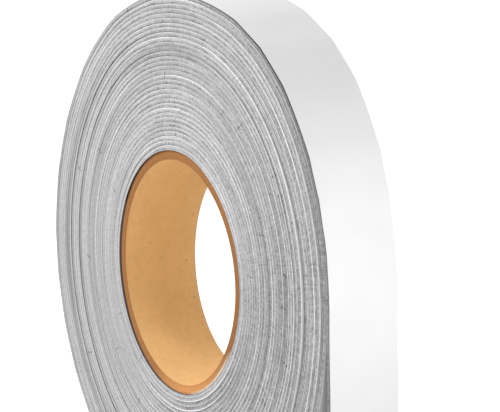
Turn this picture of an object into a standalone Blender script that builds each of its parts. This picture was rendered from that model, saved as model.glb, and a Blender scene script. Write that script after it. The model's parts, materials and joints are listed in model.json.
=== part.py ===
"""A roll of white-faced magnetic tape on a paperboard core, standing on its edge with its tail hanging.

Metres, +Z up. The roll's axis runs along Y, its front side faces -Y and the tail hangs on the +X side.
The origin lies on the standing surface, straight below the middle of the axis.
"""

import math

import bmesh
import bpy
import numpy as np

# Driving dimensions
BORE_DIAMETER = 0.0762
LINER_THICKNESS = 0.0005
BOARD_THICKNESS = 0.0017
WRAP_THICKNESS = 0.0003
CORE_LENGTH = 0.0276
CORE_RECESS = 0.0009
TAPE_WIDTH = 0.0254
TAPE_PITCH = 0.0016
FILM_THICKNESS = 0.00023
CLEARANCE = 0.0003
INNER_TURNS = 10
WOUND_TURNS = 23
STANDING_FLAT_DEPTH = 0.0005
TAIL_SECTIONS = 6
TAIL_END_HEIGHT = 0.006
HINGE_GAP = 0.0004

# How finely round shapes are cut: corners in a quarter of each turn of tape, and sides of the core for
# each of those corners. Edges flatter than the smooth angle are shaded smooth.
TURN_CORNERS_PER_QUARTER = 6
CORE_SIDES_PER_CORNER = 2
SMOOTH_ANGLE = math.radians(30)

# Finishes: colour as seen, from 0 to 255, and roughness
LINER_FINISH = ((206, 156, 102), 0.75)
BOARD_FINISH = ((176, 124, 78), 0.9)
WRAP_FINISH = ((206, 156, 102), 0.8)
MAGNET_FINISH = ((150, 148, 150), 0.7)
FILM_FINISH = ((244, 244, 243), 0.35)

# Front faces: the core is cut longer than the tape is wide, and sits a little back from the tape's front
TAPE_FRONT = -TAPE_WIDTH / 2
CORE_FRONT = TAPE_FRONT + CORE_RECESS

# Radii, from the bore outwards
LINER_INNER = BORE_DIAMETER / 2
LINER_OUTER = LINER_INNER + LINER_THICKNESS
BOARD_INNER = LINER_OUTER + CLEARANCE
BOARD_OUTER = BOARD_INNER + BOARD_THICKNESS
WRAP_INNER = BOARD_OUTER + CLEARANCE
WRAP_OUTER = WRAP_INNER + WRAP_THICKNESS
TURNS_INNER = WRAP_OUTER + CLEARANCE
WOUND_INNER = TURNS_INNER + INNER_TURNS * TAPE_PITCH
WOUND_OUTER = WOUND_INNER + WOUND_TURNS * TAPE_PITCH

# Each turn holds the magnet strip, a clearance, the film and a clearance to the next turn
MAGNET_THICKNESS = TAPE_PITCH - FILM_THICKNESS - 2 * CLEARANCE
FILM_OFFSET = MAGNET_THICKNESS + CLEARANCE
TAPE_THICKNESS = FILM_OFFSET + FILM_THICKNESS

# A turn is a polygon. The middle of each side of the outermost one lies STANDING_FLAT_DEPTH inside the
# true curve, so that the side at the bottom is the flat that the roll stands on.
TURN_CORNERS = 4 * TURN_CORNERS_PER_QUARTER
CORNER_STEP = 2 * math.pi / TURN_CORNERS
CORNER_STRETCH = (1 - STANDING_FLAT_DEPTH / WOUND_OUTER) / math.cos(CORNER_STEP / 2)
BOTTOM_ANGLE = math.pi / 2


def wound_angle(corner):
    """The angle from 3 o'clock, clockwise seen from the front, of a corner counted from the strip's start."""
    return (corner + 0.5) * CORNER_STEP


def wound_radius(corner):
    """The magnet strip's inner radius at a corner. Both ends of a bottom side share one, so it is level."""
    angle = wound_angle(corner)
    from_bottom = math.remainder(angle - BOTTOM_ANGLE, 2 * math.pi)
    if abs(from_bottom) < CORNER_STEP:
        angle -= from_bottom
    return WOUND_INNER + TAPE_PITCH * angle / (2 * math.pi)


def around(angle, radius):
    """The x and z of a point on the roll's side, from its axis."""
    return np.array((radius * math.cos(angle), -radius * math.sin(angle)))


def corner_point(corner, offset):
    """A corner of the winding, offset outwards from the magnet strip's inner face."""
    return around(wound_angle(corner), (wound_radius(corner) + offset) * CORNER_STRETCH)


LAST_CORNER = WOUND_TURNS * TURN_CORNERS - 1
BOTTOM_CORNER = LAST_CORNER - TURN_CORNERS + 1 + TURN_CORNERS_PER_QUARTER
AXIS_HEIGHT = -corner_point(BOTTOM_CORNER, TAPE_THICKNESS)[1]

# The tail runs straight down from the last corner. Its first hinge is level with the corner below.
TAIL_INNER_X = corner_point(LAST_CORNER, 0)[0]
TAIL_MIDDLE_X = corner_point(LAST_CORNER, TAPE_THICKNESS / 2)[0]
FIRST_HINGE_Z = -corner_point(LAST_CORNER, 0)[1]
TAIL_SECTION_LENGTH = (AXIS_HEIGHT + FIRST_HINGE_Z - TAIL_END_HEIGHT) / TAIL_SECTIONS


def clear_scene():
    for old in list(bpy.data.objects):
        bpy.data.objects.remove(old, do_unlink=True)


def linear(colour):
    """A colour from 0 to 255 as seen, as the linear values that a shader takes."""
    shares = [value / 255 for value in colour]
    return [s / 12.92 if s <= 0.04045 else ((s + 0.055) / 1.055) ** 2.4 for s in shares]


def make_material(name, finish):
    colour, roughness = finish
    material = bpy.data.materials.new(name)
    material.use_nodes = True
    shader = material.node_tree.nodes["Principled BSDF"]
    shader.inputs["Base Color"].default_value = (*linear(colour), 1)
    shader.inputs["Roughness"].default_value = roughness
    shader.inputs["Metallic"].default_value = 0
    return material


def make_empty(name, location, parent=None):
    empty = bpy.data.objects.new(name, None)
    empty.location = location
    empty.parent = parent
    empty.empty_display_size = TAPE_WIDTH / 2
    bpy.context.scene.collection.objects.link(empty)
    return empty


def make_extrusion(name, points, faces, front, width, material, parent):
    """A solid whose side view is the given faces, extruded from its front face towards the back."""
    mesh = bpy.data.meshes.new(name)
    shape = bmesh.new()
    corners = [shape.verts.new((x, front, z)) for x, z in points]
    for face in faces:
        shape.faces.new([corners[index] for index in face])
    extruded = bmesh.ops.extrude_face_region(shape, geom=shape.faces[:])
    moved = [part for part in extruded["geom"] if isinstance(part, bmesh.types.BMVert)]
    bmesh.ops.translate(shape, verts=moved, vec=(0, width, 0))
    bmesh.ops.recalc_face_normals(shape, faces=shape.faces[:])
    shape.to_mesh(mesh)
    shape.free()
    mesh.shade_smooth()
    mesh.set_sharp_from_angle(angle=SMOOTH_ANGLE)
    mesh.materials.append(material)
    solid = bpy.data.objects.new(name, mesh)
    solid.parent = parent
    bpy.context.scene.collection.objects.link(solid)


def band_faces(count):
    """The four-sided faces between two rows of points, the first row's points being listed first."""
    return [(i, i + 1, count + i + 1, count + i) for i in range(count - 1)]


def make_tube(name, inner, outer, material, parent):
    """One ply of the core."""
    sides = TURN_CORNERS * CORE_SIDES_PER_CORNER
    angles = [2 * math.pi * side / sides for side in range(sides)]
    points = [around(angle, inner) for angle in angles] + [around(angle, outer) for angle in angles]
    faces = band_faces(sides) + [(sides - 1, 0, sides, 2 * sides - 1)]
    make_extrusion(name, points, faces, CORE_FRONT, CORE_LENGTH, material, parent)


def make_inner_turns(material, parent):
    """The innermost turns as one ring. Its outside climbs one pitch to a step where the wound strip starts."""
    low = [corner_point(corner, -CLEARANCE) for corner in range(TURN_CORNERS + 1)]
    angles = [wound_angle(corner) for corner in range(TURN_CORNERS)]
    halves = [angle + CORNER_STEP / 2 for angle in angles]
    inside = [around(angle, TURNS_INNER) for pair in zip(angles, halves) for angle in pair]
    outside = [point for a, b in zip(low, low[1:]) for point in (a, (a + b) / 2)]
    count = len(inside)
    step_top = 2 * count
    faces = band_faces(count)
    faces.append((count - 1, 0, count, step_top - 1))
    faces.append((step_top - 1, count, step_top))
    points = inside + outside + [low[-1]]
    make_extrusion("inner_turns", points, faces, TAPE_FRONT, TAPE_WIDTH, material, parent)


def wound_row(offset):
    """The side view of one face of the strip, from its start by the ring's step to the tail's first hinge."""
    row = [corner_point(corner, offset) for corner in range(LAST_CORNER + 1)]
    along = row[1] - row[0]
    row[0] = row[0] + along * CLEARANCE / np.linalg.norm(along)
    row.append(np.array((row[-1][0], FIRST_HINGE_Z + HINGE_GAP / 2)))
    return row


def least_gap(inner_row, outer_row):
    """The least distance from a strip's outer face to the inner face of its other turns, on their points."""
    starts = np.array(inner_row[:-1])
    sides = np.array(inner_row[1:]) - starts
    least = math.inf
    for index, point in enumerate(outer_row):
        share = np.einsum("ij,ij->i", point - starts, sides) / np.einsum("ij,ij->i", sides, sides)
        nearest = starts + sides * np.clip(share, 0, 1)[:, None]
        distances = np.linalg.norm(point - nearest, axis=1)
        own = abs(np.arange(len(starts)) - index) < TURN_CORNERS_PER_QUARTER
        least = min(least, distances[~own].min())
    return least


def make_winding(name, offset, thickness, material, parent):
    """One layer of the tape, wound on the ring as one unbroken strip."""
    inner_row = wound_row(offset)
    outer_row = wound_row(offset + thickness)
    print(f"{name}: least gap to itself {least_gap(inner_row, outer_row) * 1000:.2f} mm")
    faces = band_faces(len(inner_row))
    make_extrusion(name, inner_row + outer_row, faces, TAPE_FRONT, TAPE_WIDTH, material, parent)


def make_tail_piece(name, offset, thickness, material, parent):
    """One layer of one tail section, hanging from its hinge."""
    inner_x = TAIL_INNER_X - TAIL_MIDDLE_X + offset * CORNER_STRETCH * math.cos(CORNER_STEP / 2)
    outer_x = inner_x + thickness * CORNER_STRETCH * math.cos(CORNER_STEP / 2)
    top = -HINGE_GAP / 2
    bottom = -TAIL_SECTION_LENGTH + HINGE_GAP / 2
    points = [(inner_x, bottom), (inner_x, top), (outer_x, bottom), (outer_x, top)]
    make_extrusion(name, points, band_faces(2), TAPE_FRONT, TAPE_WIDTH, material, parent)


def make_core(parent):
    liner = make_material("kraft_liner", LINER_FINISH)
    board = make_material("kraft_board", BOARD_FINISH)
    wrap = make_material("kraft_wrap", WRAP_FINISH)
    make_tube("core_liner", LINER_INNER, LINER_OUTER, liner, parent)
    make_tube("core_board", BOARD_INNER, BOARD_OUTER, board, parent)
    make_tube("core_wrap", WRAP_INNER, WRAP_OUTER, wrap, parent)


def make_tail(magnet, film, roll_axis):
    hinge = roll_axis
    place = (TAIL_MIDDLE_X, 0, FIRST_HINGE_Z)
    for section in range(1, TAIL_SECTIONS + 1):
        hinge = make_empty(f"tail_hinge_{section}", place, hinge)
        make_tail_piece(f"magnet_tail_{section}", 0, MAGNET_THICKNESS, magnet, hinge)
        make_tail_piece(f"facing_tail_{section}", FILM_OFFSET, FILM_THICKNESS, film, hinge)
        place = (0, 0, -TAIL_SECTION_LENGTH)


def main():
    clear_scene()
    magnet = make_material("ferrite_rubber", MAGNET_FINISH)
    film = make_material("white_film", FILM_FINISH)
    roll_axis = make_empty("roll_axis", (0, 0, AXIS_HEIGHT))
    make_core(roll_axis)
    make_inner_turns(magnet, roll_axis)
    make_winding("magnet_winding", 0, MAGNET_THICKNESS, magnet, roll_axis)
    make_winding("facing_winding", FILM_OFFSET, FILM_THICKNESS, film, roll_axis)
    make_tail(magnet, film, roll_axis)


main()
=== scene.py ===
"""The looks of a roll of white-faced magnetic tape: its fine turns, its finishes, the light and the camera.

Metres, +Z up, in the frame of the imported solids. The roll's axis runs along Y, its front side faces -Y and
its tail hangs on the +X side. Places round the roll are hours of the clock, as its front side shows them.
"""

import json
import math
from types import SimpleNamespace

import bpy
import numpy as np
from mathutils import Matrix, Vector


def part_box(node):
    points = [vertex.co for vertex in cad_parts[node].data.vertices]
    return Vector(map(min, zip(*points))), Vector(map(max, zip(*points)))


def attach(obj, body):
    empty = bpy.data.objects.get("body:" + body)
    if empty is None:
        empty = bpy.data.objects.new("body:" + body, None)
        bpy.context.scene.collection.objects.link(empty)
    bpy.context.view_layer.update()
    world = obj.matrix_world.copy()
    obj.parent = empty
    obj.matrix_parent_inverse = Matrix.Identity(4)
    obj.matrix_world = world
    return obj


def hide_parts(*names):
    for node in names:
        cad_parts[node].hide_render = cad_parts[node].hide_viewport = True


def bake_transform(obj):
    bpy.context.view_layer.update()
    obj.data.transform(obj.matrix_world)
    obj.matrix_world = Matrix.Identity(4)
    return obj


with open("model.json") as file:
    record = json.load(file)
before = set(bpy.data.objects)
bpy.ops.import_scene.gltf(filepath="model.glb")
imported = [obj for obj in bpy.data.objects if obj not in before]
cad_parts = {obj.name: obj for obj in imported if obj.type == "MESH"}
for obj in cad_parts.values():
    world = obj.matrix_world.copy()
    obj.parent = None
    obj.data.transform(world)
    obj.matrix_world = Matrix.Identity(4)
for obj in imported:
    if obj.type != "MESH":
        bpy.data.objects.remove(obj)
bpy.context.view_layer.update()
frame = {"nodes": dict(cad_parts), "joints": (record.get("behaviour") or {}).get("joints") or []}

# Places taken from the frame
wrap_low, wrap_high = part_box("core_wrap")
tape_low, tape_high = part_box("magnet_winding")
tail_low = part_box("magnet_tail_6")[0]
CORE_OUTER = (wrap_high.x - wrap_low.x) / 2
AXIS_HEIGHT = (wrap_high.z + wrap_low.z) / 2
CORE_FRONT, CORE_BACK = wrap_low.y, wrap_high.y
TAPE_FRONT, TAPE_BACK = tape_low.y, tape_high.y
TAIL_END = tail_low.z
liner_points = [vertex.co for vertex in frame["nodes"]["core_liner"].data.vertices]
BORE_RADIUS = min(math.hypot(point.x, point.z - AXIS_HEIGHT) for point in liner_points)
HINGES = [Vector(joint["pos_m"]) for joint in frame["joints"]]
SECTION_LENGTH = HINGES[0].z - HINGES[1].z
MIDDLE = Vector((0, 0, AXIS_HEIGHT))

# The tape: a magnet strip with a white film on its outer side. Places along it are counted in turns, whole
# at 3 o'clock, and it is wound clockwise. Its start is cut to a taper, so that the next turn lies evenly.
MAGNET_THICKNESS = 0.00102
FILM_THICKNESS = 0.0005
TAPE_THICKNESS = MAGNET_THICKNESS + FILM_THICKNESS
MAGNET_CHAMFER = 0.00004
FILM_CHAMFER = 0.00002
BOND_GAP = 0.000005
CORE_GAP = 0.00003
START_TURN = -0.435
TAPERED_TURNS = 1
THINNEST = 0.05
END_TURN = 33
STEPS_PER_TURN = 144
TAIL_STEPS_PER_SECTION = 12
SMOOTH_ANGLE = math.radians(30)
# The last place of the winding counts as the end of a turn, not as the start of another
JUST_SHORT = 1e-9
LAST_PLACE = END_TURN - JUST_SHORT

# The clock: its hours, and the hour at which turns are whole
HOURS = 12
WHOLE_TURN_HOUR = 3

# The first turns stand off the core: the hour, the hours to either side, how far, and in how many turns
# that is taken up
CORE_LOOSE_HOUR = 8.6
CORE_LOOSE_HOURS = 3.4
CORE_LOOSE = 0.0004
CORE_LOOSE_TURNS = 18

# Loose gaps on the front: the turn after which one opens, the turns it takes to open, and its width. They
# close again round 12 o'clock, and at the back the turns share them evenly.
LOOSE_GAPS = ((24.75, 0.3, 0.00046), (20.9, 0.3, 0.00038), (15.4, 0.3, 0.00012))
ALL_GAPS = sum(width for *_, width in LOOSE_GAPS)
GAP_CLOSED_HOUR = 12
GAP_CLOSED_HOURS = 1.4

# How far the outermost turn lies outside a true round, every hour and a half from 12 o'clock, and the power
# by which bulges fade inwards
OUT_OF_ROUND = (-0.0006, 0.0016, -0.0005, -0.0003, 0, 0.0003, 0.0008, -0.0003)
BULGE_FADE = 3

# The outermost turns have kinks with flatter stretches between them: how many, the range of their
# distances as shares of the mean, their height, the power by which they fade inwards, and how many turns
# of the winding's end have none
KINKS_PER_TURN = 26
KINK_DISTANCES = (0.55, 1.45)
KINK_HEIGHT = 0.00042
KINK_FADE = 14
KINK_FREE_END = 0.04

# The roll's weight presses its lowest turns flat: where the outermost one rests on the floor, and the power
# by which that fades inwards. Above the axis nothing is pressed, and the sine is held off zero.
LOWEST_TURN = 32.25
PRESS_FADE = 3
LEAST_SINE = 1e-6

# The rear edge of the outermost turns leans outwards: the hour, the hours to either side, how far on the
# last turn, and the turn where it begins
LEAN_HOUR = 0.83
LEAN_HOURS = 2.2
LEAN = 0.0023
LEAN_FROM = 24
# On the right the rear edge of every turn is tucked in
TUCK_HOUR = 2.67
TUCK_HOURS = 1.5
TUCK = -0.0013

# The tail springs outwards from where it leaves the roll: how far, and within what length
TAIL_SPRING = 0.0009
TAIL_SPRING_LENGTH = 0.03

# Shelves on the right of the front: the turn after which the tape sits back, the turns it takes, and how
# far back
SHELVES = ((24.5, 0.3, 0.00026), (28.3, 0.5, -0.00014), (32.1, 0.3, 0.0001))
SHELF_HOUR = 2.8
SHELF_HOURS = 2.8

# Turns that stand proud on the right, where their film's edge gets a painted highlight: the turn, the turns
# to either side and how far
PROUD_TURNS = (
    (0.15, 0.2, 0.0002),
    (1.15, 0.2, 0.0002),
    (2.15, 0.2, 0.00015),
    (3.15, 0.2, 0.0001),
    (8, 0.3, 0.00018),
    (10, 0.3, 0.00018),
    (13, 0.3, 0.0002),
    (17, 0.3, 0.0002),
    (19, 0.3, 0.00018),
    (23.97, 0.24, 0.0003),
    (27.95, 0.3, 0.0002),
    (28.95, 0.3, 0.0001),
    (29.95, 0.3, 0.0001),
)
# How much lighter the film's edge is painted for each metre that a turn stands proud, as a painted highlight
PROUD_HIGHLIGHT = 1300

# How far the tape wanders sideways, as pairs of size and of changes in a turn, and how far the film's edge
# lies back from the magnet's edge
TAPE_WANDER = ((0.00013, 1.3), (0.00006, 4.3))
FILM_RECESS = 0.00005
FILM_WANDER = ((0.00008, 1.3), (0.00005, 5.0))
# On the left the edges lie almost flush
FLUSH_HOUR = 8.8
FLUSH_HOURS = 3
FLUSH_SHARE = 0.75

# Seeds of what varies at random along the strip, and the values drawn beyond its end
TAPE_SEED = 1
FILM_SEED = 2
TONE_SEED = 3
FILM_TONE_SEED = 4
KINK_SEED = 7
SPARE_KNOTS = 3

# Shade of the slit edges along the strip: random parts, as pairs of share and of changes in a turn, and
# zones, as middle turn, turns to either side, hour, hours to either side and gain
TONE_WANDER = ((0.09, 1.9), (0.07, 8.0))
ALL_TURNS = 1000
ALL_HOURS = 1000
TONE_AND_SHADE_ZONES = (
    (0.5, 5.0, 0, ALL_HOURS, 0.08),
    (3.0, 7.0, 1.8, 2.6, 0.12),
    (3.5, 3.0, 4.4, 1.4, -0.14),
    (18.0, 9.0, 4.6, 1.4, 0.10),
    (2.0, 3.0, 10.2, 1.6, -0.14),
    (16.0, ALL_TURNS, 8.6, 2.8, -0.12),
    (5.0, 6.0, 9.0, 2.5, 0.06),
    (27.0, 2.1, 8.8, 2.8, -0.27),
    # Painted shade: these three darken the edges beside the loose gaps on the left, where the gaps lie in
    # shade
    (24.5, 0.45, 9.0, 2.8, -0.20),
    (20.5, 0.5, 9.0, 2.4, -0.20),
    (15.5, 0.5, 9.2, 2.0, -0.22),
    (13.4, 0.5, 9.0, 1.8, -0.14),
    (9.4, 0.5, 9.0, 1.6, -0.10),
    (32.6, 0.5, 9.0, 3.0, -0.28),
    (32.0, 2.2, 1.8, 1.4, -0.20),
    (26.0, 5.0, 1.5, 1.7, 0.20),
    (28.0, 4.0, 3.2, 1.6, 0.18),
    (32.0, 1.2, 3.0, 1.6, 0.06),
    (18.0, 7.0, 1.6, 1.6, 0.06),
    (29.5, 4.0, 12.0, 1.6, 0.06),
    (16.0, ALL_TURNS, 3.6, 2.6, -0.06),
    (22.0, 2.0, 11.9, 2.2, -0.24),
    (19.5, 5.0, 11.9, 2.0, -0.05),
    (29.3, 0.9, 0.1, 1.3, -0.14),
    (16.3, 1.2, 10.4, 1.3, -0.16),
    (33.0, 1.0, 0, ALL_HOURS, -0.12),
    (32.86, 0.2, 1.4, 2.0, -0.20),
    (33.0, 0.16, 3.0, 2.0, -0.08),
)
# The film's edge is duller at the top, darker on the last turns, and uneven on the right
FILM_TONE_ZONES = (
    (16.0, ALL_TURNS, 12.0, 2.4, -0.07),
    (33.0, 1.0, 0, ALL_HOURS, -0.32),
    (32.84, 0.2, 1.0, 2.2, -0.28),
    (16.0, ALL_TURNS, 3.3, 2.8, -0.16),
    (31.6, 1.3, 2.9, 1.9, -0.36),
    (30.0, 0.4, 3.0, 3.0, 0.2),
)
FILM_TONE_WANDER = ((0.2, 3.1),)
FILM_UNEVEN_HOUR = 3.3
FILM_UNEVEN_HOURS = 3.2

# Share of the slit edges that white film is smeared over, and its zones. The zones over all turns are
# painted
# light and shade by side of the roll: the magnet's edges lighter on the left and at the top, darker on the
# right.
SMEAR = 0.34
SMEAR_AND_LIGHT_ZONES = (
    (16.0, ALL_TURNS, 12.0, 2.6, 0.12),
    (16.0, ALL_TURNS, 8.7, 2.9, 0.85),
    (16.0, ALL_TURNS, 3.3, 2.4, -0.12),
    (2.0, 7.0, 2.9, 2.2, 0.25),
    (31.8, 1.4, 2.9, 1.9, -0.3),
)

# Zones of painted shade on the faces: on the magnet's first turns, in the gap by the core, and on the film
# in the tail's shadow
MAGNET_FACE_PAINTED_SHADE = ((START_TURN, 1.5, 0, ALL_HOURS, -0.8),)
FILM_FACE_PAINTED_SHADE = ((32.2, 0.4, 0, ALL_HOURS, -0.03),)

# Core: three plies, glued, with rounded cut edges
LINER_WALL = 0.0006
WRAP_WALL = 0.0004
PLY_GAP = 0.00002
CORE_SIDES = 192
CORE_EDGE_RADIUS = 0.00018
CORE_EDGE_SHARE = 1 / 3
CORE_EDGE_STEPS = 4
BOARD_PLIES = 5
BOARD_PLY_GROOVE = 0.00006
# It is not quite round: how much wider it is on its left and on its right, and the powers by which that
# fades towards the top and the bottom
CORE_OVAL_LEFT = 0.0006
CORE_OVAL_LEFT_FADE = 2
CORE_OVAL_RIGHT = 0.0015
CORE_OVAL_RIGHT_FADE = 4
# How far its ends stand out of the solids' ends. They are not cut quite square: the front end slants
# sideways and the back end slants upwards.
CORE_FORWARD = 0.0005
CORE_BACKWARD = 0.0005
CORE_FRONT_SLANT = -0.006
CORE_BACK_SLANT = 0.035

# Colours of the finishes, from 0 to 255 as seen
MAGNET_EDGE = (170, 169, 171)
MAGNET_FACE = (122, 120, 124)
SMEARED_FILM = (206, 206, 207)
FILM_EDGE = (234, 234, 235)
FILM_FACE = (244, 244, 244)
KRAFT_LIGHT = (253, 207, 141)
KRAFT_DARK = (249, 199, 135)
# Painted light: the paper is paler low in the bore
KRAFT_PAINTED_LIGHT = (243, 198, 136)
BOARD_LIGHT = (190, 134, 84)
BOARD_DARK = (170, 116, 68)
# Painted light low on the cut end, and a painted highlight on its rim
BOARD_PAINTED_LIGHT = (233, 168, 107)
BOARD_RIM_HIGHLIGHT = (250, 236, 214)
FLOOR_COLOUR = (232, 232, 232)
# As a shader takes it
WHITE = (1, 1, 1, 1)

# Sizes of the finishes' patterns. On the tape: along the strip, through its thickness and across its width.
STREAK = (0.03, 0.00022, 0.0008)
GRAIN = (0.0009, 0.0005, 0.0005)
CLOUD = (0.006, 0.002, 0.003)
CALENDER_LINE = (0.05, 0.001, 0.0005)
FACE_GRAIN = (0.0005, 0.0005, 0.0005)
FILM_CLOUD = (0.02, 0.004, 0.02)
FILM_GRAIN = (0.0016, 0.0016, 0.0016)
FILM_RIPPLE = (0.006, 0.006, 0.006)
LINE_STRENGTH = (0.045, 0.01, 0.01)
# Round the roll: along the turn, outwards and along the axis
SCRATCH = (0.0007, 0.006, 0.006)
SCRATCH_RADIUS = 0.07
NICK_SPACING = (0.011, 0.063, 0.03)
NICK_SLANT = 0.25
# On the core
FIBRE = (0.0022, 0.00045, 0.0022)
PAPER_CLOUD = (0.012, 0.008, 0.012)
PAPER_MOTTLE = (0.0018, 0.0018, 0.0018)
SPECK_SPACING = (0.0058, 0.0046, 0.0058)
BOARD_FIBRE = (0.0006, 0.0006, 0.0006)
BOARD_PLY = 0.00025
# Painted light on the cut end, paler towards the bottom, and a painted highlight on its rim towards the
# lower
# right: the direction, where each begins and ends as shares of the core's radius, and the width of the rim
PAINTED_LIGHT_TOWARDS = (0.3, 0, -0.954)
PAINTED_LIGHT_REACH = (0.72, 0.95)
RIM_HIGHLIGHT_TOWARDS = (0.588, 0, -0.809)
RIM_HIGHLIGHT_REACH = (0.9, 0.97)
HIGHLIGHT_RIM_WIDTH = 0.001

# Noise: the range that most of it lies in, and how rough it is
NOISE_RANGE = (0.3, 0.7)
NOISE_ROUGHNESS = 0.55
NONE_TO_ALL = (0, 1)

# How far each pattern of noise darkens and lightens
STREAK_SHADE = (0.8, 1.2)
GRAIN_SHADE = (0.64, 1.36)
CLOUD_SHADE = (0.86, 1.14)
SMEAR_SHADE = (0.86, 1.14)
CALENDER_LINE_SHADE = (0.92, 1.08)
FACE_GRAIN_SHADE = (0.9, 1.1)
FILM_CLOUD_SHADE = (0.975, 1.015)
LINE_STRENGTH_SHADE = (0.72, 1.12)
FILM_EDGE_GRAIN_SHADE = (0.74, 1.2)
PAPER_CLOUD_SHADE = (0.96, 1.04)
PAPER_MOTTLE_SHADE = (0.965, 1.035)
# Marks: where in its pattern each one starts and ends, and how dark or light it is
NICK_REACH = (0.02, 0.04)
NICK_SHADE = 0.4
DARK_SCRATCH_REACH = (0.56, 0.72)
DARK_SCRATCH_SHADE = 0.55
PALE_SCRATCH_REACH = (0.28, 0.42)
PALE_SCRATCH_SHADE = 1.3
SPECK_REACH = (0.04, 0.09)
SPECK_SHADE = 0.6
# How much of the magnet's edge a smear covers, for its share, and the shares that dull the film's edge
SMEAR_COVER = (1.6, 2.4)
FILM_EDGE_SMEARED = (0.5, 0.8)

# Roughness and specular level of each finish. The film's roughness varies.
MAGNET_EDGE_GLOSS = (0.72, 0.25)
MAGNET_FACE_GLOSS = (0.6, 0.3)
FILM_ROUGHNESS = (0.38, 0.48)
FILM_SPECULAR = 0.3
FILM_EDGE_GLOSS = (0.6, 0.25)
PAPER_GLOSS = (0.82, 0.2)
BOARD_GLOSS = (0.9, 0.15)
FLOOR_GLOSS = (1, 0)

# Strength and height of each finish's relief
MAGNET_EDGE_RELIEF = (0.3, 0.0002)
MAGNET_FACE_RELIEF = (0.2, 0.0001)
FILM_RELIEF = (0.08, 0.0002)
FILM_EDGE_RELIEF = (0.3, 0.0001)
PAPER_RELIEF = (0.15, 0.0001)
BOARD_RELIEF = (0.4, 0.00015)

# Sockets of a node that mixes colours, which go by number because their names repeat
MIX_SHARE = 0
MIX_FROM = 6
MIX_TO = 7
MIX_RESULT = 2

# Camera, from the middle of the roll: its bearing and height in degrees, its distance, how far it stands
# to its own right and above, and its focal length in pixels of the photograph
CAMERA_AZIMUTH = 59.425
CAMERA_ELEVATION = 8.978
CAMERA_DISTANCE = 0.64
CAMERA_ASIDE = 0.0141
CAMERA_ABOVE = 0.0214
FOCAL_PIXELS = 1883.6
IMAGE_WIDTH = 500
SENSOR_WIDTH = 36

# Light: the level of the surrounding light, the name, place, aim, size, spread in degrees and power of each
# lamp, and how much brighter the floor is where it is seen
AMBIENT = 0.52
LAMPS = (
    ("right_softbox", (0.24, 0, 0.127), (0.09, 0, 0.127), 0.12, 140, 0.085),
    ("top_left_softbox", (-0.293, -0.365, 0.546), (0, 0, 0.094), 0.3, 180, 2.6),
)
FLOOR_HALF_WIDTH = 25
FLOOR_LIFT = 0.64

# Sides of the strip's cross-section, numbered by the corner that each one starts from, and corners of a face
# of its mesh
SECTION_SIDES = 8
OUTER_FACE = 2
BACK_EDGES = (3, 4, 5)
INNER_FACE = 6
FACE_CORNERS = 4

# Map for baking a winding: the discs of its front and back edges, and the patches of its faces, with the
# length of strip on each patch
DISC_MIDDLES = ((0.293, 0.707), (0.707, 0.293))
DISC_RADIUS = 0.285
PATCH_CORNERS = ((0.01, 0.01), (0.61, 0.61))
PATCH_SIZE = 0.37
PATCH_LENGTH = 0.6


def smooth(share):
    share = np.clip(share, 0, 1)
    return share * share * (3 - 2 * share)


def between(knots, place):
    """A smooth value at a place that is counted in knots."""
    knot = np.floor(place).astype(int)
    share = smooth(place - knot)
    return knots[knot % len(knots)] * (1 - share) + knots[(knot + 1) % len(knots)] * share


def wander(turn, parts, seed):
    """A smooth random value along the strip, the sum of parts given as size and changes in a turn."""
    total = np.zeros_like(turn)
    for index, (size, changes) in enumerate(parts):
        count = int(END_TURN * changes) + SPARE_KNOTS
        knots = np.random.default_rng((seed, index)).uniform(-1, 1, count)
        total += size * between(knots, turn * changes)
    return total


def stepped(turn, steps):
    """The sum of smooth steps, each given as the turn where it begins, the turns it takes and its size."""
    return sum(size * smooth((turn - start) / length) for start, length, size in steps)


def near(turn, middle, half):
    """1 at a place on the strip, falling to 0 at some turns to either side."""
    return 1 - smooth(abs(turn - middle) / half)


def clock(turn):
    return (WHOLE_TURN_HOUR + HOURS * turn) % HOURS


def near_hour(turn, hour, half):
    """1 where the strip passes an hour of the clock, falling to 0 at some hours to either side."""
    apart = abs((clock(turn) - hour + HOURS / 2) % HOURS - HOURS / 2)
    return 1 - smooth(apart / half)


def zoned(turn, zones):
    """The sum of gains round places given as turn, turns to either side, hour and hours to either side."""
    total = np.zeros_like(turn)
    for middle, half, hour, hours, gain in zones:
        total += gain * near(turn, middle, half) * near_hour(turn, hour, hours)
    return total


def layers_below(turn):
    """How many thicknesses of tape lie below a point of the strip."""
    return np.maximum(0, turn - START_TURN - TAPERED_TURNS)


def kinks(turn):
    """How far the outermost turns stand out at their kinks."""
    lengths = np.random.default_rng(KINK_SEED).uniform(*KINK_DISTANCES, KINKS_PER_TURN)
    ends = np.concatenate(([0], np.cumsum(lengths) / lengths.sum()))
    place = turn % 1
    left = np.searchsorted(ends, place, side="right").clip(1, KINKS_PER_TURN) - 1
    share = (place - ends[left]) / (ends[left + 1] - ends[left])
    height = KINK_HEIGHT * (turn / END_TURN) ** KINK_FADE * smooth((END_TURN - turn) / KINK_FREE_END)
    # A parabola that is 1 at each kink and 0 halfway to the next
    return height * (1 - 4 * share * (1 - share))


def share_wound(turn):
    return layers_below(turn) / layers_below(END_TURN)


def gap_lift(turn):
    """How far the loose gaps lift the tape, at its front edge and at its back edge."""
    opened = 1 - near_hour(turn, GAP_CLOSED_HOUR, GAP_CLOSED_HOURS)
    return opened * stepped(turn, LOOSE_GAPS), opened * ALL_GAPS * share_wound(turn)


def core_oval(across):
    """How far the core lies outside a true round. Across runs from -1 on its left to 1 on its right."""
    left = CORE_OVAL_LEFT * across ** CORE_OVAL_LEFT_FADE
    right = CORE_OVAL_RIGHT * across ** CORE_OVAL_RIGHT_FADE
    return np.where(across > 0, right, left)


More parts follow.
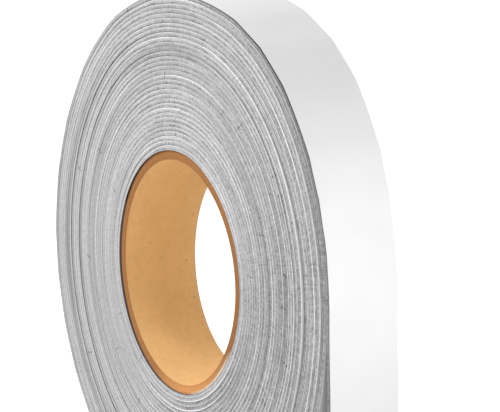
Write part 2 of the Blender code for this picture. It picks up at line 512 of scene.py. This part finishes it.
def wound_radius(turn):
    """The inner radius of the tape where it is wound, at its front edge."""
    start = CORE_OUTER + CORE_GAP
    end = HINGES[0].x - TAPE_THICKNESS / 2
    pitch = (end - start - ALL_GAPS) / layers_below(END_TURN)
    share = share_wound(turn)
    bulge = between(np.array(OUT_OF_ROUND), clock(turn) / HOURS * len(OUT_OF_ROUND))
    off_core = CORE_LOOSE * near_hour(turn, CORE_LOOSE_HOUR, CORE_LOOSE_HOURS)
    off_core = off_core * np.clip(1 - (turn - START_TURN) / CORE_LOOSE_TURNS, 0, 1)
    oval = core_oval(np.cos(2 * math.pi * turn)) * (1 - share)
    radius = start + pitch * layers_below(turn) + oval + off_core + gap_lift(turn)[0] + kinks(turn)
    radius += bulge * share ** np.where(bulge > 0, BULGE_FADE, 1)
    # How far the outermost turn would reach into the floor
    below = np.clip(np.sin(2 * math.pi * turn), LEAST_SINE, 1)
    lowest = end - pitch * (END_TURN - LOWEST_TURN) + TAPE_THICKNESS + bulge + kinks(turn)
    pressed = np.maximum(0, lowest - AXIS_HEIGHT / below)
    return radius - pressed * share ** PRESS_FADE


def tail_heights():
    """Heights along the tail, from the winding to its end, and the places among them where pieces meet."""
    cuts = [hinge.z + SECTION_LENGTH / 2 for hinge in HINGES]
    cuts.append(HINGES[-1].z - SECTION_LENGTH / 2)
    ends = [AXIS_HEIGHT, *cuts, TAIL_END]
    heights = []
    places = []
    for top, bottom in zip(ends, ends[1:]):
        heights.extend(np.linspace(top, bottom, TAIL_STEPS_PER_SECTION, endpoint=False)[1:])
        heights.append(bottom)
        places.append(len(heights) - 1)
    return np.array(heights), places


def strip_path():
    """The whole strip's course: its inner face seen from the side, and what changes along it."""
    turn = np.linspace(START_TURN, END_TURN, round((END_TURN - START_TURN) * STEPS_PER_TURN) + 1)
    turn[-1] = LAST_PLACE
    angle = 2 * math.pi * turn
    heights, places = tail_heights()
    out = np.stack([np.cos(angle), -np.sin(angle)], 1)
    radius = wound_radius(turn)
    wound = out * radius[:, None] + (0, AXIS_HEIGHT)
    spring = TAIL_SPRING * smooth((AXIS_HEIGHT - heights) / TAIL_SPRING_LENGTH)
    tail = np.stack([radius[-1] + spring, heights], 1)
    point = np.concatenate([wound, tail])
    turns = np.concatenate([turn, np.full(len(heights), LAST_PLACE)])
    # The slit edges' random tone, with painted shade beside the loose gaps and, on the film, a painted
    # highlight on proud turns
    tone = 1 + wander(turns, TONE_WANDER, TONE_SEED) + zoned(turns, TONE_AND_SHADE_ZONES)
    uneven = wander(turns, FILM_TONE_WANDER, FILM_TONE_SEED)
    uneven = uneven * near_hour(turns, FILM_UNEVEN_HOUR, FILM_UNEVEN_HOURS)
    film_tone_and_light = tone + zoned(turns, FILM_TONE_ZONES) + uneven
    loose = 1 - FLUSH_SHARE * near_hour(turns, FLUSH_HOUR, FLUSH_HOURS)
    front = TAPE_FRONT + wander(turns, TAPE_WANDER, TAPE_SEED) * loose
    front += stepped(turns, SHELVES) * near_hour(turns, SHELF_HOUR, SHELF_HOURS)
    for middle, half, size in PROUD_TURNS:
        proud = size * near(turns, middle, half)
        front -= proud
        # Painted highlight: the film's edge of a proud turn is painted lighter
        film_tone_and_light += PROUD_HIGHLIGHT * proud
    leaning = np.clip((turns - LEAN_FROM) / (END_TURN - LEAN_FROM), 0, 1)
    lean = LEAN * leaning * near_hour(turns, LEAN_HOUR, LEAN_HOURS)
    lean += TUCK * share_wound(turns) * near_hour(turns, TUCK_HOUR, TUCK_HOURS)
    lift_front, lift_back = gap_lift(turns)
    return SimpleNamespace(
        point=point,
        out=np.concatenate([out, np.tile((1.0, 0.0), (len(heights), 1))]),
        thick=np.clip((turns - START_TURN) / TAPERED_TURNS, THINNEST, 1),
        along=np.concatenate([[0], np.cumsum(np.linalg.norm(np.diff(point, axis=0), axis=1))]),
        front=front,
        film_recess=(FILM_RECESS + wander(turns, FILM_WANDER, FILM_SEED)) * loose,
        lean=lean + lift_back - lift_front,
        smear_and_light=SMEAR + zoned(turns, SMEAR_AND_LIGHT_ZONES),
        tone={"magnet": tone, "film": film_tone_and_light},
        shade={"magnet": 1 + zoned(turns, MAGNET_FACE_PAINTED_SHADE), "film": 1 + zoned(turns, FILM_FACE_PAINTED_SHADE)},
        cuts=[len(turn) + place for place in places],
    )


def link_object(name, mesh, *materials):
    for material in materials:
        mesh.materials.append(material)
    mesh.shade_smooth()
    mesh.set_sharp_from_angle(angle=SMOOTH_ANGLE)
    piece = bpy.data.objects.new(name, mesh)
    bpy.context.scene.collection.objects.link(piece)
    return piece


def make_strip(name, path, first, last, layer, edge_material, face_material):
    """One layer of the strip between two places on its course, as a closed mesh with chamfered edges."""
    part = slice(first, last + 1)
    front = path.front[part]
    back = front + TAPE_BACK - TAPE_FRONT
    if layer == "magnet":
        inner, outer, chamfer = 0, MAGNET_THICKNESS, MAGNET_CHAMFER
    else:
        inner, outer, chamfer = MAGNET_THICKNESS + BOND_GAP, TAPE_THICKNESS, FILM_CHAMFER
        front = front + path.film_recess[part]
        back = back - path.film_recess[part]
    # Round the cross-section: how far out each corner lies, its place from front to back, and whether it
    # leans with the rear edge
    corners = (
        (inner + chamfer, front, 0),
        (outer - chamfer, front, 0),
        (outer, front + chamfer, 0),
        (outer, back - chamfer, 1),
        (outer - chamfer, back, 1),
        (inner + chamfer, back, 1),
        (inner, back - chamfer, 1),
        (inner, front + chamfer, 0),
    )
    count = last + 1 - first
    points = np.empty((count, SECTION_SIDES, 3))
    strip = np.empty((count, SECTION_SIDES, 3))
    for index, (offset, y, leans) in enumerate(corners):
        raised = offset * path.thick[part] + leans * path.lean[part]
        seen = path.point[part] + path.out[part] * raised[:, None]
        points[:, index] = np.stack([seen[:, 0], y, seen[:, 1]], 1)
        strip[:, index] = np.stack([path.along[part], np.full(count, offset), y], 1)
    index = np.arange(count * SECTION_SIDES).reshape(count, SECTION_SIDES)
    after = np.roll(index, -1, axis=1)
    faces = np.stack([index[:-1], index[1:], after[1:], after[:-1]], 2).reshape(-1, FACE_CORNERS)
    caps = [index[0].tolist(), index[-1][::-1].tolist()]
    mesh = bpy.data.meshes.new(name)
    mesh.from_pydata(points.reshape(-1, 3).tolist(), [], faces.tolist() + caps)
    is_face = [int(side in (OUTER_FACE, INNER_FACE)) for side in range(SECTION_SIDES)]
    mesh.polygons.foreach_set("material_index", is_face * (count - 1) + [0] * len(caps))
    mesh.attributes.new("strip", "FLOAT_VECTOR", "POINT").data.foreach_set("vector", strip.ravel())
    for kind, values in (("tone", path.tone[layer]), ("smear_and_light", path.smear_and_light), ("shade", path.shade[layer])):
        values = np.repeat(values[part], SECTION_SIDES)
        mesh.attributes.new(kind, "FLOAT", "POINT").data.foreach_set("value", values)
    return link_object(name, mesh, edge_material, face_material)


def lay_out_winding(piece):
    """A map for baking: the winding's front and back edges as discs, and its two faces as patches."""
    mesh = piece.data
    count = len(mesh.loops)
    corner = np.empty(count, int)
    mesh.loops.foreach_get("vertex_index", corner)
    points = np.empty(len(mesh.vertices) * 3)
    mesh.vertices.foreach_get("co", points)
    strip = np.empty(len(mesh.vertices) * 3)
    mesh.attributes["strip"].data.foreach_get("vector", strip)
    points = points.reshape(-1, 3)[corner]
    strip = strip.reshape(-1, 3)[corner]
    # The sides come in turn, and the caps of both ends come last
    in_caps = 2 * SECTION_SIDES
    side = np.arange((count - in_caps) // FACE_CORNERS) % SECTION_SIDES
    side = np.concatenate([np.repeat(side, FACE_CORNERS), np.zeros(in_caps, int)])
    disc = np.where(np.isin(side, BACK_EDGES), 1, 0)
    flat = (points[:, [0, 2]] - (0, AXIS_HEIGHT)) / (HINGES[0].x + TAPE_THICKNESS)
    place = np.array(DISC_MIDDLES)[disc] + flat * DISC_RADIUS
    # The corners of one face stay together on the patch, which is about as long as one outer turn
    along = strip[:, 0]
    first = np.repeat(along.reshape(-1, FACE_CORNERS)[:, 0], FACE_CORNERS)
    begin = np.floor(first / PATCH_LENGTH) * PATCH_LENGTH
    across = (strip[:, 2] - TAPE_FRONT) / (TAPE_BACK - TAPE_FRONT)
    share = np.stack([(along - begin) / PATCH_LENGTH, across], 1)
    for number, face in enumerate((OUTER_FACE, INNER_FACE)):
        is_face = side == face
        place[is_face] = np.array(PATCH_CORNERS[number]) + share[is_face] * PATCH_SIZE
    mesh.uv_layers.new(name="OFBake").uv.foreach_set("vector", place.ravel())


def make_tube(name, profile, end_material, wall_material):
    """A ring turned from a closed profile of radius and place along the axis, with slanting ends."""
    count = len(profile)
    angles = np.arange(CORE_SIDES) * 2 * math.pi / CORE_SIDES
    points = []
    for angle in angles:
        for radius, y in profile:
            reach = radius + core_oval(math.cos(angle))
            x, height = reach * math.cos(angle), -reach * math.sin(angle)
            slant = CORE_BACK_SLANT * height if y > 0 else CORE_FRONT_SLANT * x
            points.append((x, y + slant, AXIS_HEIGHT + height))
    index = np.arange(CORE_SIDES * count).reshape(CORE_SIDES, count)
    after = np.roll(index, -1, axis=0)
    faces = np.stack([index, after, np.roll(after, -1, 1), np.roll(index, -1, 1)], 2)
    mesh = bpy.data.meshes.new(name)
    mesh.from_pydata(points, [], faces.reshape(-1, FACE_CORNERS).tolist())
    # The long sides of the profile, halfway and at its end, are the ply's walls
    is_wall = [int(place in (count // 2 - 1, count - 1)) for place in range(count)]
    mesh.polygons.foreach_set("material_index", is_wall * CORE_SIDES)
    return link_object(name, mesh, end_material, wall_material)


def ply_profile(inner, outer, grooves=0):
    """The profile of one ply, with its cut edges rounded and its ends grooved between thinner plies."""
    round_in = min(CORE_EDGE_RADIUS, (outer - inner) * CORE_EDGE_SHARE)
    quarter = [math.pi / 2 * step / CORE_EDGE_STEPS for step in range(CORE_EDGE_STEPS + 1)]
    edge = [(round_in * (1 - math.cos(angle)), round_in * (1 - math.sin(angle))) for angle in quarter]
    # Points of the front end as radius and depth
    end = [(inner + aside, depth) for aside, depth in edge]
    for groove in range(1, grooves + 1):
        middle = inner + (outer - inner) * groove / (grooves + 1)
        end.append((middle - BOARD_PLY_GROOVE, 0))
        end.append((middle, BOARD_PLY_GROOVE))
        end.append((middle + BOARD_PLY_GROOVE, 0))
    end.extend((outer - depth, aside) for aside, depth in edge)
    front = [(radius, CORE_FRONT - CORE_FORWARD + depth) for radius, depth in end]
    back = [(radius, CORE_BACK + CORE_BACKWARD - depth) for radius, depth in reversed(end)]
    return front + back


# Finishes


def linear(colour):
    """A colour from 0 to 255 as seen, as the linear values that a shader takes, by the sRGB curve."""
    shares = [value / 255 for value in colour]
    return [*(s / 12.92 if s <= 0.04045 else ((s + 0.055) / 1.055) ** 2.4 for s in shares), 1]


class Finish:
    """A material whose nodes are added one by one."""

    def __init__(self, name):
        self.material = bpy.data.materials.new(name)
        self.material.use_nodes = True
        self.tree = self.material.node_tree
        self.shader = self.tree.nodes["Principled BSDF"]

    def feed(self, socket, value):
        if isinstance(value, bpy.types.NodeSocket):
            self.tree.links.new(value, socket)
        else:
            socket.default_value = value

    def add(self, kind, settings, inputs):
        node = self.tree.nodes.new(kind)
        for name, value in settings.items():
            setattr(node, name, value)
        for name, value in inputs.items():
            self.feed(node.inputs[name], value)
        return node

    def attribute(self, name, output):
        return self.add("ShaderNodeAttribute", {"attribute_name": name}, {}).outputs[output]

    def place(self):
        return self.add("ShaderNodeTexCoord", {}, {}).outputs["Object"]

    def vector(self, operation, inputs):
        return self.add("ShaderNodeVectorMath", {"operation": operation}, inputs).outputs

    def from_middle(self):
        return self.vector("SUBTRACT", {0: self.place(), 1: tuple(MIDDLE)})["Vector"]

    def parts(self, vector):
        return self.add("ShaderNodeSeparateXYZ", {}, {"Vector": vector}).outputs

    def calculate(self, operation, *values):
        return self.add("ShaderNodeMath", {"operation": operation}, dict(enumerate(values))).outputs["Value"]

    def product(self, first, *others):
        for other in others:
            first = self.calculate("MULTIPLY", first, other)
        return first

    def around(self, slant=0):
        """The place round the roll: along the turn, outwards from the axis, and along the axis."""
        x, y, z = self.parts(self.from_middle())
        out = self.calculate("SQRT", self.calculate("ADD", self.product(x, x), self.product(z, z)))
        arc = self.product(self.calculate("ARCTAN2", z, x), SCRATCH_RADIUS)
        slanted = self.calculate("ADD", arc, self.product(out, slant))
        return self.add("ShaderNodeCombineXYZ", {}, {"X": slanted, "Y": out, "Z": y}).outputs["Vector"]

    def stretched(self, vector, sizes):
        """Coordinates in which one unit is the given size along each axis."""
        return self.vector("MULTIPLY", {0: vector, 1: tuple(1 / size for size in sizes)})["Vector"]

    def noise(self, vector, sizes, detail):
        inputs = {
            "Vector": self.stretched(vector, sizes),
            "Scale": 1.0,
            "Detail": detail,
            "Roughness": NOISE_ROUGHNESS,
        }
        return self.add("ShaderNodeTexNoise", {}, inputs).outputs["Fac"]

    def specks(self, vector, spacing, dimensions="3D"):
        """How far the nearest of some scattered places is, as a share of their spacing."""
        settings = {"voronoi_dimensions": dimensions}
        inputs = {"Vector": self.stretched(vector, spacing), "Scale": 1.0}
        return self.add("ShaderNodeTexVoronoi", settings, inputs).outputs["Distance"]

    def spread(self, value, from_range, to_range):
        """A value carried from one range to another, and held within that."""
        inputs = {
            "Value": value,
            "From Min": from_range[0],
            "From Max": from_range[1],
            "To Min": to_range[0],
            "To Max": to_range[1],
        }
        return self.add("ShaderNodeMapRange", {"clamp": True}, inputs).outputs["Result"]

    def varied(self, noise, to_range):
        return self.spread(noise, NOISE_RANGE, to_range)

    def towards(self, direction, shares):
        """From 0 to 1 on the side of the core in a direction, between shares of the core's radius."""
        reach = self.vector("DOT_PRODUCT", {0: self.from_middle(), 1: direction})["Value"]
        return self.spread(reach, [share * CORE_OUTER for share in shares], NONE_TO_ALL)

    def mixed(self, share, a, b):
        """A colour that lies a share of the way from one to another."""
        inputs = {MIX_SHARE: share, MIX_FROM: a, MIX_TO: b}
        return self.add("ShaderNodeMix", {"data_type": "RGBA"}, inputs).outputs[MIX_RESULT]

    def dimmed(self, colour, by):
        """A colour times a number."""
        return self.vector("SCALE", {0: colour, "Scale": by})["Vector"]

    def paint(self, colour):
        self.feed(self.shader.inputs["Base Color"], colour)

    def polish(self, roughness, specular):
        self.feed(self.shader.inputs["Roughness"], roughness)
        self.feed(self.shader.inputs["Specular IOR Level"], specular)

    def emboss(self, height, strength, distance):
        inputs = {"Height": height, "Strength": strength, "Distance": distance}
        self.feed(self.shader.inputs["Normal"], self.add("ShaderNodeBump", {}, inputs).outputs["Normal"])


def slit_magnet_finish():
    """The slit edge of ferrite-filled rubber: grey and grainy, with drawn streaks, scratches across the
    turns, and white film smeared over it beside the film, whose spread also paints light and shade round the
    roll."""
    finish = Finish("slit_ferrite_rubber")
    strip = finish.attribute("strip", "Vector")
    streak = finish.noise(strip, STREAK, detail=3)
    grain = finish.noise(strip, GRAIN, detail=2)
    cloud = finish.noise(strip, CLOUD, detail=2)
    scratch = finish.noise(finish.around(), SCRATCH, detail=1)
    nick = finish.specks(finish.around(NICK_SLANT), NICK_SPACING, "2D")
    shade = finish.product(
        # Tone of the slit edge, with painted shade beside the loose gaps
        finish.attribute("tone", "Fac"),
        finish.varied(streak, STREAK_SHADE),
        finish.spread(nick, NICK_REACH, (NICK_SHADE, 1)),
    )
    rough = finish.product(
        finish.varied(grain, GRAIN_SHADE),
        finish.varied(cloud, CLOUD_SHADE),
        finish.spread(scratch, DARK_SCRATCH_REACH, (1, DARK_SCRATCH_SHADE)),
        finish.spread(scratch, PALE_SCRATCH_REACH, (PALE_SCRATCH_SHADE, 1)),
    )
    # The smear is thickest beside the film, and covers the whole edge where its share is 1
    towards_film = finish.spread(finish.parts(strip)["Y"], (0, MAGNET_THICKNESS), (-1, 0))
    smear_and_light = finish.product(finish.attribute("smear_and_light", "Fac"), finish.varied(cloud, SMEAR_COVER))
    share = finish.spread(finish.calculate("ADD", towards_film, smear_and_light), NONE_TO_ALL, NONE_TO_ALL)
    rubber = finish.dimmed(linear(MAGNET_EDGE)[:3], rough)
    smeared = finish.dimmed(linear(SMEARED_FILM)[:3], finish.varied(grain, SMEAR_SHADE))
    finish.paint(finish.dimmed(finish.mixed(share, rubber, smeared), shade))
    finish.polish(*MAGNET_EDGE_GLOSS)
    finish.emboss(grain, *MAGNET_EDGE_RELIEF)
    return finish.material


def magnet_face_finish():
    """The face of the magnet strip, as calendered: dark grey, with fine lines along it."""
    finish = Finish("ferrite_rubber_face")
    strip = finish.attribute("strip", "Vector")
    lines = finish.noise(strip, CALENDER_LINE, detail=3)
    grain = finish.noise(strip, FACE_GRAIN, detail=2)
    shade = finish.product(
        # Painted shade on the first turns, in the gap by the core
        finish.attribute("shade", "Fac"),
        finish.varied(lines, CALENDER_LINE_SHADE),
        finish.varied(grain, FACE_GRAIN_SHADE),
    )
    finish.paint(finish.dimmed(linear(MAGNET_FACE)[:3], shade))
    finish.polish(*MAGNET_FACE_GLOSS)
    finish.emboss(lines, *MAGNET_FACE_RELIEF)
    return finish.material


def film_finish():
    """White vinyl film: satin, very slightly uneven."""
    finish = Finish("white_film")
    strip = finish.attribute("strip", "Vector")
    cloud = finish.noise(strip, FILM_CLOUD, detail=2)
    grain = finish.noise(strip, FILM_GRAIN, detail=2)
    ripple = finish.noise(strip, FILM_RIPPLE, detail=3)
    # Painted shade on the film in the tail's shadow
    shade = finish.product(finish.attribute("shade", "Fac"), finish.varied(cloud, FILM_CLOUD_SHADE))
    finish.paint(finish.dimmed(linear(FILM_FACE)[:3], shade))
    finish.polish(finish.varied(grain, FILM_ROUGHNESS), FILM_SPECULAR)
    finish.emboss(ripple, *FILM_RELIEF)
    return finish.material


def slit_film_finish():
    """The slit edge of the film: dull white, cleaner in some stretches than in others, lighter as a painted
    highlight on proud turns.
    """
    finish = Finish("slit_film")
    strip = finish.attribute("strip", "Vector")
    strength = finish.noise(strip, LINE_STRENGTH, detail=1)
    grain = finish.noise(strip, GRAIN, detail=2)
    shade = finish.product(
        # Tone of the film's edge, with a painted highlight on proud turns
        finish.attribute("tone", "Fac"),
        finish.varied(strength, LINE_STRENGTH_SHADE),
        finish.varied(grain, FILM_EDGE_GRAIN_SHADE),
    )
    # The smear's share, which round the roll also carries painted light and shade
    smear_and_light = finish.spread(finish.attribute("smear_and_light", "Fac"), FILM_EDGE_SMEARED, NONE_TO_ALL)
    finish.paint(finish.dimmed(finish.mixed(smear_and_light, linear(FILM_EDGE), linear(SMEARED_FILM)), shade))
    finish.polish(*FILM_EDGE_GLOSS)
    finish.emboss(grain, *FILM_EDGE_RELIEF)
    return finish.material


def paper_finish():
    """Kraft paper: fibres lying round the core, soft clouds and a few dark specks, and painted light, paler
    low down.
    """
    finish = Finish("kraft_paper")
    place = finish.place()
    fibre = finish.noise(place, FIBRE, detail=4)
    cloud = finish.noise(place, PAPER_CLOUD, detail=3)
    mottle = finish.noise(place, PAPER_MOTTLE, detail=2)
    speck = finish.specks(place, SPECK_SPACING)
    paper = finish.mixed(finish.varied(fibre, NONE_TO_ALL), linear(KRAFT_DARK), linear(KRAFT_LIGHT))
    # Painted light: paler low down in the bore, where light from above falls
    lit_low = finish.spread(finish.parts(place)["Z"], (AXIS_HEIGHT - BORE_RADIUS, AXIS_HEIGHT), (1, 0))
    paper = finish.mixed(lit_low, paper, linear(KRAFT_PAINTED_LIGHT))
    shade = finish.product(
        finish.varied(cloud, PAPER_CLOUD_SHADE),
        finish.varied(mottle, PAPER_MOTTLE_SHADE),
        finish.spread(speck, SPECK_REACH, (SPECK_SHADE, 1)),
    )
    finish.paint(finish.dimmed(paper, shade))
    finish.polish(*PAPER_GLOSS)
    finish.emboss(fibre, *PAPER_RELIEF)
    return finish.material


def board_finish():
    """The cut end of the board: thin plies side by side, darker than the paper, with painted light low down
    and a painted highlight on its rim.
    """
    finish = Finish("cut_board")
    fibre = finish.noise(finish.place(), BOARD_FIBRE, detail=4)
    out = finish.parts(finish.around())["Y"]
    plies = finish.add("ShaderNodeTexNoise", {"noise_dimensions": "1D"}, {"W": out, "Scale": 1 / BOARD_PLY})
    both = finish.product(finish.calculate("ADD", plies.outputs["Fac"], fibre), 1 / 2)
    board = finish.mixed(finish.varied(both, NONE_TO_ALL), linear(BOARD_DARK), linear(BOARD_LIGHT))
    # Painted light towards the bottom, and a painted highlight on the rim towards the lower right
    board = finish.mixed(finish.towards(PAINTED_LIGHT_TOWARDS, PAINTED_LIGHT_REACH), board, linear(BOARD_PAINTED_LIGHT))
    at_highlight_rim = finish.spread(out, (CORE_OUTER - HIGHLIGHT_RIM_WIDTH, CORE_OUTER - HIGHLIGHT_RIM_WIDTH / 2), NONE_TO_ALL)
    rim_highlight = finish.product(finish.towards(RIM_HIGHLIGHT_TOWARDS, RIM_HIGHLIGHT_REACH), at_highlight_rim)
    finish.paint(finish.mixed(rim_highlight, board, linear(BOARD_RIM_HIGHLIGHT)))
    finish.polish(*BOARD_GLOSS)
    finish.emboss(fibre, *BOARD_RELIEF)
    return finish.material


# Pieces


def dress(piece, slot, *nodes):
    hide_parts(*nodes)


def make_core():
    board_inner = BORE_RADIUS + LINER_WALL
    board_outer = CORE_OUTER - WRAP_WALL
    kraft = paper_finish()
    cut = board_finish()
    liner = make_tube("core_liner_ply", ply_profile(BORE_RADIUS, board_inner - PLY_GAP), cut, kraft)
    board_ring = ply_profile(board_inner, board_outer, BOARD_PLIES - 1)
    board = make_tube("core_board_plies", board_ring, cut, kraft)
    wrap = make_tube("core_wrap_ply", ply_profile(board_outer + PLY_GAP, CORE_OUTER), cut, kraft)
    for piece, slot, node in (
        (liner, "kraft_liner", "core_liner"),
        (board, "kraft_board", "core_board"),
        (wrap, "kraft_wrap", "core_wrap"),
    ):
        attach(piece, "roll")
        dress(piece, slot, node)


def make_tape():
    path = strip_path()
    magnet = (slit_magnet_finish(), magnet_face_finish())
    film = (slit_film_finish(), film_finish())
    layers = (
        ("magnet", "magnet", magnet, ("inner_turns", "magnet_winding"), "magnet_tail"),
        ("film", "facing", film, ("facing_winding",), "facing_tail"),
    )
    for layer, slot, finishes, wound_nodes, tail_node in layers:
        winding = make_strip(f"{layer}_turns", path, 0, path.cuts[0], layer, *finishes)
        lay_out_winding(winding)
        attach(winding, "roll")
        dress(winding, slot, *wound_nodes)
        above = "roll"
        for number, hinge in enumerate(HINGES, 1):
            below = f"tail_section_{number}"
            top, bottom = path.cuts[number - 1], path.cuts[number]
            piece = make_strip(f"{layer}_tail_bend_{number}", path, top, bottom, layer, *finishes)
            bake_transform(piece)
            dress(piece, slot, f"{tail_node}_{number}")
            above = below
        end = make_strip(f"{layer}_tail_end", path, path.cuts[-2], path.cuts[-1], layer, *finishes)
        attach(end, above)


# Stage, light and camera


def make_floor():
    finish = Finish("floor")
    finish.paint(linear(FLOOR_COLOUR))
    finish.polish(*FLOOR_GLOSS)
    path = finish.add("ShaderNodeLightPath", {}, {})
    seen = finish.product(path.outputs["Is Camera Ray"], FLOOR_LIFT)
    finish.feed(finish.shader.inputs["Emission Color"], WHITE)
    finish.feed(finish.shader.inputs["Emission Strength"], seen)
    half = FLOOR_HALF_WIDTH
    corners = [(-half, -half, 0), (half, -half, 0), (half, half, 0), (-half, half, 0)]
    mesh = bpy.data.meshes.new("floor")
    mesh.from_pydata(corners, [], [range(len(corners))])
    link_object("floor", mesh, finish.material)


def make_world():
    """White where it is seen or reflected, and an even soft light elsewhere."""
    world = bpy.data.worlds.new("surround")
    bpy.context.scene.world = world
    world.use_nodes = True
    nodes, links = world.node_tree.nodes, world.node_tree.links
    path = nodes.new("ShaderNodeLightPath")
    seen = path.outputs["Is Camera Ray"]
    for ray in ("Is Glossy Ray", "Is Transmission Ray"):
        either = nodes.new("ShaderNodeMath")
        either.operation = "MAXIMUM"
        links.new(seen, either.inputs[0])
        links.new(path.outputs[ray], either.inputs[1])
        seen = either.outputs["Value"]
    level = nodes.new("ShaderNodeMapRange")
    level.inputs["To Min"].default_value = AMBIENT
    links.new(seen, level.inputs["Value"])
    links.new(level.outputs["Result"], nodes["Background"].inputs["Strength"])
    nodes["Background"].inputs["Color"].default_value = WHITE


def make_lamps():
    for name, place, aim, size, spread, power in LAMPS:
        data = bpy.data.lights.new(name, "AREA")
        data.shape = "DISK"
        data.size = size
        data.spread = math.radians(spread)
        data.energy = power
        lamp = bpy.data.objects.new(name, data)
        lamp.location = place
        lamp.rotation_euler = (Vector(aim) - Vector(place)).to_track_quat("-Z", "Y").to_euler()
        bpy.context.scene.collection.objects.link(lamp)


def make_camera():
    azimuth, elevation = math.radians(CAMERA_AZIMUTH), math.radians(CAMERA_ELEVATION)
    level = math.cos(elevation)
    back = Vector((math.sin(azimuth) * level, -math.cos(azimuth) * level, math.sin(elevation)))
    right = Vector((math.cos(azimuth), math.sin(azimuth), 0))
    up = back.cross(right)
    data = bpy.data.cameras.new("camera")
    data.sensor_width = SENSOR_WIDTH
    data.lens = FOCAL_PIXELS * SENSOR_WIDTH / IMAGE_WIDTH
    camera = bpy.data.objects.new("camera", data)
    camera.location = MIDDLE + right * CAMERA_ASIDE + up * CAMERA_ABOVE + back * CAMERA_DISTANCE
    camera.rotation_euler = (-back).to_track_quat("-Z", "Y").to_euler()
    bpy.context.scene.collection.objects.link(camera)
    bpy.context.scene.camera = camera


make_camera()
make_core()
make_tape()
make_floor()
make_world()
make_lamps()
bpy.context.scene.view_settings.view_transform = "Standard"
